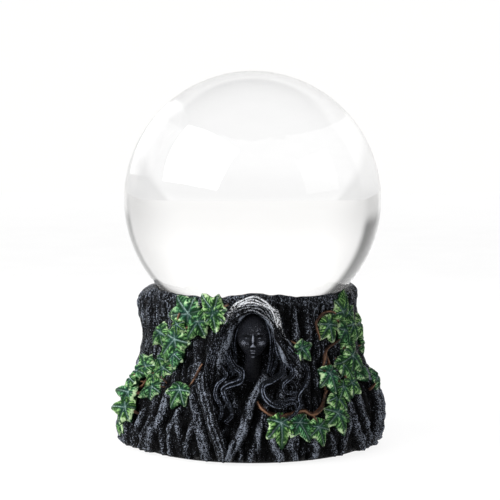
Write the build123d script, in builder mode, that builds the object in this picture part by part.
"""Crystal ball on a sculpted tree-stump stand, with a hooded figure, ivy stems and ivy leaves.

Millimetres, +Z up. The origin is the centre of the underside, on the surface the stand rests on.
The figure faces -Y. A bearing is an angle about +Z, 0 at the front (-Y) and positive towards +X.
"""

from build123d import *
import math
import os

os.makedirs("parts", exist_ok=True)

# ---- driving dimensions -------------------------------------------------------------------

ball_diameter = 110.0
ball_centre_z = 105.0
ball_clearance = 0.3

felt_thickness = 1.0
felt_radius = 49.0

rim_z = 68.0
socket_gap = 0.8
seat_inner_radius = 33.5
seat_outer_radius = 37.5
seat_ledge_z = 59.5
well_radius = 30.0
well_floor_z = 42.0

# The stump from the ground up: height, radius over the roots, depth of the hollows between them.
stump_outline = [
    (1.0, 53.5, 1.6),
    (6.0, 56.5, 2.4),
    (13.0, 56.5, 2.4),
    (20.0, 54.0, 2.0),
    (29.0, 49.6, 0.8),
    (38.0, 46.0, 0.0),
    (52.0, 44.0, 0.0),
    (68.0, 44.8, 0.0),
]

# Roots: tapered rods from the trunk to the ground, bearing of the foot and of the upper end.
root_bearings = [
    (-8, 3), (-28, -23), (-48, -42), (-68, -64), (-90, -84), (-112, -108), (-134, -136),
    (-157, -160), (180, 176), (158, 154), (136, 134), (113, 110), (92, 90), (72, 68),
    (52, 48), (33, 28), (14, 16),
]
root_low_z = 4.5
root_high_z = 34.0
root_low_radius = 4.6
root_high_radius = 2.0

# Broken branch on the left of the stump, a tapered rod too.
branch_foot = (-36.8, 0, 32.0)
branch_top = (-39.3, 0, 63.0)
branch_low_radius = 7.5
branch_high_radius = 10.0

leaf_thickness = 2.6
leaf_embed = 1.3
stem_radius = 1.1

ball_radius = ball_diameter / 2


# ---- the stump's surface ------------------------------------------------------------------

def stump_radius(height):
    """Radius of the stump over its roots at a height."""
    for low, high in zip(stump_outline, stump_outline[1:]):
        if height <= high[0]:
            share = (height - low[0]) / (high[0] - low[0])
            return low[1] + share * (high[1] - low[1])
    return stump_outline[-1][1]


def surface_point(bearing, height, proud=0.0):
    """Point on the stump's surface, moved outwards by proud."""
    radius = stump_radius(height) + proud
    angle = math.radians(bearing)
    return (radius * math.sin(angle), -radius * math.cos(angle), height)


def surface_plane(bearing, height, aim, lift, proud):
    """Plane that lies on the stump. Its y axis points along aim: 0 is down, 90 is towards
    larger bearings. Lift raises that end of the plane off the bark, in degrees."""
    angle = math.radians(bearing)
    slope = stump_radius(height + 2) - stump_radius(height - 2)
    outward = Vector(math.sin(angle), -math.cos(angle), 0)
    across = Vector(math.cos(angle), math.sin(angle), 0)
    upward = (outward * slope + Vector(0, 0, 4)).normalized()
    normal = across.cross(upward)
    along = across * math.sin(math.radians(aim)) - upward * math.cos(math.radians(aim))
    lifted = along * math.cos(math.radians(lift)) + normal * math.sin(math.radians(lift))
    side = along.cross(normal)
    return Plane(origin=surface_point(bearing, height, proud), x_dir=side, z_dir=side.cross(lifted))


# ---- crystal ball -------------------------------------------------------------------------

with BuildPart(Plane.XY.offset(ball_centre_z)) as crystal_ball:
    Sphere(ball_radius)

crystal_ball.part.label = "crystal_ball"
export_step(crystal_ball.part, "parts/crystal_ball.step")


# ---- stump casting: bark, roots, ball socket, seat ledge, well and the figure's niche ------

niche_half_width = 9.0
niche_top_z = 61.0
niche_foot_z = 34.0
niche_back_y = -39.5

def tapered_rod(foot, top, low_radius, high_radius):
    """Cone from foot to top, added to the part being built."""
    rod = Vector(top) - Vector(foot)
    with Locations(Plane(origin=foot, z_dir=rod)):
        Cone(low_radius, high_radius, rod.length, align=(Align.CENTER, Align.CENTER, Align.MIN))


with BuildPart() as stump_casting:
    with BuildSketch(Plane.XZ):
        with BuildLine():
            outline = [(radius - hollow, height) for height, radius, hollow in stump_outline]
            Polyline([(0, felt_thickness)] + outline + [(0, rim_z)], close=True)
        make_face()
    revolve(axis=Axis.Z)
    tapered_rod(branch_foot, branch_top, branch_low_radius, branch_high_radius)
    for foot_bearing, top_bearing in root_bearings:
        tapered_rod(
            surface_point(foot_bearing, root_low_z, -root_low_radius),
            surface_point(top_bearing, root_high_z, -root_high_radius),
            root_low_radius,
            root_high_radius,
        )
    split(bisect_by=Plane.XY.offset(felt_thickness), keep=Keep.TOP)
    with Locations((0, 0, ball_centre_z)):
        Sphere(ball_radius + socket_gap, mode=Mode.SUBTRACT)
    with BuildSketch(Plane.XY.offset(seat_ledge_z)):
        Circle(seat_outer_radius)
    extrude(amount=rim_z - seat_ledge_z, mode=Mode.SUBTRACT)
    with BuildSketch(Plane.XY.offset(well_floor_z)):
        Circle(well_radius)
    extrude(amount=rim_z - well_floor_z, mode=Mode.SUBTRACT)
    with BuildSketch(Plane.XZ.offset(-niche_back_y)):
        with Locations((0, (niche_foot_z + niche_top_z) / 2)):
            SlotOverall(niche_top_z - niche_foot_z, 2 * niche_half_width, rotation=90)
    extrude(amount=30, mode=Mode.SUBTRACT)

stump_casting.part.label = "stump_casting"
export_step(stump_casting.part, "parts/stump_casting.step")


# ---- seat ring: a soft ring with a hollowed face, on the ledge in the socket ---------------

with BuildPart() as seat_ring:
    with BuildSketch(Plane.XZ):
        with Locations(((seat_inner_radius + seat_outer_radius) / 2, seat_ledge_z)):
            Rectangle(
                seat_outer_radius - seat_inner_radius,
                8.0,
                align=(Align.CENTER, Align.MIN),
            )
    revolve(axis=Axis.Z)
    with Locations((0, 0, ball_centre_z)):
        Sphere(ball_radius + ball_clearance, mode=Mode.SUBTRACT)

seat_ring.part.label = "seat_ring"
export_step(seat_ring.part, "parts/seat_ring.step")


# ---- base felt ----------------------------------------------------------------------------

with BuildPart() as base_felt:
    with BuildSketch():
        Circle(felt_radius)
    extrude(amount=felt_thickness)

base_felt.part.label = "base_felt"
export_step(base_felt.part, "parts/base_felt.step")


# ---- relief pieces: an outline seen from the front, wrapped on the stump --------------------

relief_sweep = 110.0


def relief_shell(sunk, proud, low_z, high_z):
    """Front part of a shell that follows the stump, from sunk below its mean surface to proud
    of it, kept clear of the ball."""
    heights = [low_z] + [ring[0] for ring in stump_outline if low_z < ring[0] < high_z] + [high_z]
    inner = [(stump_radius(height) - sunk, height) for height in heights]
    outer = [(stump_radius(height) + proud, height) for height in reversed(heights)]
    section_plane = Plane.XZ.rotated((0, 0, -90 - relief_sweep / 2))
    with BuildPart() as shell:
        with BuildSketch(section_plane):
            with BuildLine():
                Polyline(inner + outer, close=True)
            make_face()
        revolve(axis=Axis.Z, revolution_arc=relief_sweep)
        with Locations((0, 0, ball_centre_z)):
            Sphere(ball_radius + socket_gap, mode=Mode.SUBTRACT)
    return shell.part


def relief_piece(name, path, width, bend, sunk, proud):
    """A band of one width along a path of (x, z) points, wrapped on the stump."""
    heights = [point[1] for point in path]
    shell = relief_shell(sunk, proud, min(heights) - width, min(max(heights) + width, 71.0))
    with BuildPart() as piece:
        with BuildSketch(Plane.XZ):
            with BuildLine():
                FilletPolyline(path, radius=bend)
            trace(line_width=width)
        extrude(amount=70)
        add(shell, mode=Mode.INTERSECT)
    piece.part.label = name
    export_step(piece.part, f"parts/{name}.step")


relief_piece(
    "hood_outer_fold",
    [(-18.5, 34.5), (-15.5, 48), (-9, 62.5), (-4, 66.5), (3.5, 67), (8.5, 62), (12.5, 53), (22, 38.5)],
    width=4.2, bend=4.0, sunk=0.6, proud=4.2,
)
relief_piece(
    "hood_inner_fold",
    [(-15.5, 36), (-11, 51), (-6.5, 59.5), (-2, 62.4), (2.5, 62.4), (7, 58), (10.5, 49), (16, 40.5)],
    width=3.0, bend=4.0, sunk=0.6, proud=3.2,
)
relief_piece(
    "hair_left_inner",
    [(-10, 50), (-9.8, 45), (-4.8, 38), (-11.6, 32.5), (-8.8, 24.5), (-10.8, 18.5)],
    width=3.0, bend=2.5, sunk=0.6, proud=2.6,
)
relief_piece(
    "hair_left_outer",
    [(-12.6, 46), (-11.2, 38.5), (-14.8, 32), (-12.8, 24.5), (-13.4, 18.5)],
    width=2.4, bend=2.5, sunk=0.6, proud=2.2,
)
relief_piece(
    "hair_right_inner",
    [(9.8, 51), (12, 40.5), (4.8, 33.5), (7.5, 27.2), (17.8, 27.6), (18.6, 22.5)],
    width=3.0, bend=2.5, sunk=0.6, proud=2.8,
)
relief_piece(
    "hair_right_outer",
    [(12.8, 48), (16.4, 38.5), (12.5, 33.5), (15, 30.4), (20.4, 29.8)],
    width=2.6, bend=2.2, sunk=0.6, proud=2.6,
)
relief_piece(
    "hair_right_curl",
    [(13.6, 48.5), (22.6, 39.5), (22.4, 34.5), (19, 28.5), (19.2, 24), (14.4, 18.8)],
    width=2.4, bend=2.5, sunk=0.6, proud=2.4,
)
relief_piece(
    "shoulder_drape",
    [(-20.5, 36), (-19.8, 30), (-16.5, 20), (-13, 10), (-12.4, 3.5)],
    width=5.5, bend=6.0, sunk=0.6, proud=3.4,
)


# ---- figure head: an egg-shaped head on a neck, its back flat against the niche -------------

head_radius = 6.8
head_half_height = 9.4
head_centre = (0.2, -43.4, 51.6)
neck_radius = 3.2
neck_foot_z = 35.5

with BuildPart() as figure_head:
    with BuildSketch(Plane.XZ.offset(-head_centre[1])):
        with Locations((head_centre[0], head_centre[2])):
            Ellipse(head_radius, head_half_height)
        with Locations((head_centre[0] - head_radius, head_centre[2])):
            Rectangle(2 * head_radius, 3 * head_half_height, mode=Mode.SUBTRACT)
    revolve(axis=Axis((head_centre[0], head_centre[1], 0), (0, 0, 1)))
    with BuildSketch(Plane.XY.offset(neck_foot_z)):
        with Locations(head_centre[:2]):
            Circle(neck_radius)
    extrude(amount=head_centre[2] - neck_foot_z)
    split(bisect_by=Plane.XZ.offset(-niche_back_y), keep=Keep.TOP)

figure_head.part.label = "figure_head"
export_step(figure_head.part, "parts/figure_head.step")


# ---- ivy stems: round rods that hug the bark -----------------------------------------------

stem_proud = 0.7


def ivy_stem(name, route, bend):
    """Round stem along a route of (bearing, height) points on the bark."""
    points = [surface_point(bearing, height, stem_proud) for bearing, height in route]
    with BuildPart() as stem:
        with BuildLine() as path:
            FilletPolyline(points, radius=bend)
        with BuildSketch(Plane(origin=path.line @ 0, z_dir=path.line % 0)):
            Circle(stem_radius)
        sweep()
    stem.part.label = name
    export_step(stem.part, f"parts/{name}.step")


ivy_stem("vine_right_lower", [(3, 25), (10, 20.5), (18, 20.5), (29, 20), (36, 23.5), (39, 29)], bend=3.0)
ivy_stem("vine_right_middle", [(38, 30), (38, 38), (41, 44), (48, 47), (57, 49)], bend=2.5)
ivy_stem("vine_right_loop", [(37, 52), (37, 57), (42, 60.5), (50, 60), (55, 56), (59, 50)], bend=2.5)
ivy_stem("vine_left_upper", [(-13, 66), (-20, 63), (-32, 58), (-44, 52), (-56, 43)], bend=3.0)
ivy_stem("vine_left_lower", [(-56, 43), (-59, 35), (-66, 29), (-76, 23), (-88, 16)], bend=3.0)
ivy_stem("vine_back_left", [(-120, 60), (-132, 52), (-140, 42), (-152, 34), (-158, 22)], bend=3.0)
ivy_stem("vine_back_right", [(80, 52), (96, 46), (112, 48), (130, 40), (142, 28), (160, 22)], bend=3.0)


# ---- ivy leaves: five-lobed plates, the stalk end at the plane's origin ----------------------

# Right half of a leaf one unit long: notch at the stalk, two side lobes, then the long tip.
leaf_outline = [
    (0.0, 0.06),
    (0.16, -0.08),
    (0.42, -0.06),
    (0.30, 0.16),
    (0.62, 0.36),
    (0.26, 0.44),
    (0.14, 0.72),
    (0.0, 1.0),
]


def leaf_solid(bearing, height, length, aim, lift):
    """One leaf. The bearing and height give its middle, and its length is from notch to tip."""
    plane = surface_plane(bearing, height, aim, lift, proud=-leaf_embed)
    with BuildPart() as leaf:
        with BuildSketch(plane.offset(length * math.sin(math.radians(lift)) / 2)):
            with BuildLine():
                right = [(x * length, (y - 0.45) * length) for x, y in leaf_outline]
                left = [(-x, y) for x, y in reversed(right)]
                Polyline(right + left[1:])
            make_face()
        extrude(amount=leaf_thickness)
        with Locations((0, 0, ball_centre_z)):
            Sphere(ball_radius + socket_gap, mode=Mode.SUBTRACT)
    return leaf.part


# Bearing and height of the middle, length, aim of the tip (0 is down, 90 is right), lift.
front_leaves = [
    (-39, 60.5, 16, -75, 4),
    (-22, 65, 12, -140, 4),
    (-20, 59.5, 10, 10, 8),
    (-31, 56.5, 12, -35, 6),
    (-42, 55, 7, -10, 4),
    (-59, 49.5, 11, -50, 4),
    (-46, 47, 14, -40, 6),
    (-43, 41.5, 8, 0, 6),
    (-67, 35.5, 11, -120, 4),
    (-55, 39, 8, -40, 4),
    (-73, 31, 11, -50, 6),
    (-58, 31, 12, -50, 6),
    (-51, 35, 9, -60, 6),
    (-57, 26, 10, -50, 6),
    (-76, 21.5, 12, -75, 26),
    (-74, 27, 9, -30, 6),
    (-73, 15.5, 12, -70, 30),
    (-76, 9.5, 9, -10, 10),
    (-38.5, 25.5, 11, -25, 8),
    (56, 62.5, 11, 165, 4),
    (66, 58, 9, 60, 8),
    (68, 51.5, 10, 30, 8),
    (58, 50, 10, 15, 6),
    (45.5, 54, 11, 25, 6),
    (63, 44.5, 12, 60, 6),
    (61, 39, 12, 45, 6),
    (27.5, 45.5, 8, 40, 4),
    (54, 35.5, 10, 25, 6),
    (41, 32.5, 10.5, 5, 6),
    (64, 33, 10, 50, 6),
    (56, 27.5, 10, 40, 6),
    (48, 27, 8, 20, 4),
    (45.5, 22.5, 10, 35, 6),
    (43, 15.5, 12, 5, 8),
    (30.5, 12.5, 10, 10, 6),
    (22, 14.5, 10, 20, 6),
    (13, 14, 12, 5, 8),
]

back_sprays = {
    "ivy_spray_right": [
        (80, 28, 9, 100, 8),
        (84, 50, 11, 30, 6),
        (93, 43, 12, 100, 6),
        (103, 50, 11, 150, 6),
        (112, 43, 12, 10, 6),
    ],
    "ivy_spray_back_right": [
        (126, 36, 12, 40, 6),
        (135, 41, 11, 120, 6),
        (144, 33, 12, 20, 6),
        (150, 22, 12, 60, 6),
    ],
    "ivy_spray_back_left": [
        (-118, 56, 12, -40, 6),
        (-128, 48, 12, 20, 6),
        (-137, 51, 10, -120, 6),
        (-141, 38, 12, -30, 6),
        (-153, 40, 10, -100, 6),
        (-156, 27, 12, 0, 6),
    ],
}

for number, leaf_place in enumerate(front_leaves, start=1):
    ivy_leaf = leaf_solid(*leaf_place)
    ivy_leaf.label = f"ivy_leaf_{number:02d}"
    export_step(ivy_leaf, f"parts/ivy_leaf_{number:02d}.step")

for spray_name, spray_places in back_sprays.items():
    ivy_spray = Compound(label=spray_name, children=[leaf_solid(*place) for place in spray_places])
    export_step(ivy_spray, f"parts/{spray_name}.step")
